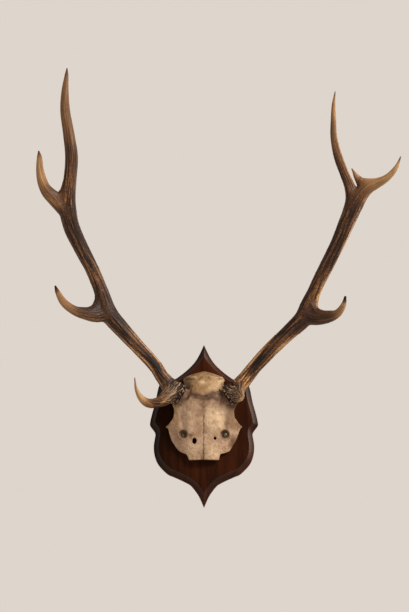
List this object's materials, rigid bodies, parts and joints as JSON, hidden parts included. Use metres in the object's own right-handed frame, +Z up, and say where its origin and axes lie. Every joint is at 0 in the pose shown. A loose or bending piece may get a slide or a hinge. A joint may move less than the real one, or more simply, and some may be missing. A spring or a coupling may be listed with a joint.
{
  "type": "mounted stag skull",
  "caption": "Red deer stag skull cap with both antlers, screwed to an ogee-pointed wooden wall shield.",
  "frame": {"origin": "centre of the wooden shield's back face, on the wall plane", "axes": "+Z up the wall, +Y into the wall, the skull faces -Y; left and right in node names are the viewer's"},
  "size_m": [0.704, 0.2671, 0.8205],
  "materials": {
    "shield_wood": "dark polished mahogany",
    "bone": "aged dry bone",
    "antler": "brown ridged antler, paler at the points",
    "screw_steel": "dulled steel",
    "plate_steel": "plain steel"
  },
  "bodies": {
    "root": {"shield": "shield_wood", "hanger_plate": "plate_steel", "hanger_screw_top": "plate_steel", "hanger_screw_bottom": "plate_steel", "skull": "bone", "left_screw": "screw_steel", "right_screw": "screw_steel", "left_lower_beam": "antler", "left_brow_tine": "antler", "left_tray_tine": "antler", "left_upper_beam": "antler", "left_top_tine": "antler", "left_outer_tine": "antler", "right_lower_beam": "antler", "right_tray_tine": "antler", "right_upper_beam": "antler", "right_inner_tine": "antler", "right_outer_tine": "antler", "right_back_tine": "antler"}
  },
  "joints": []
}
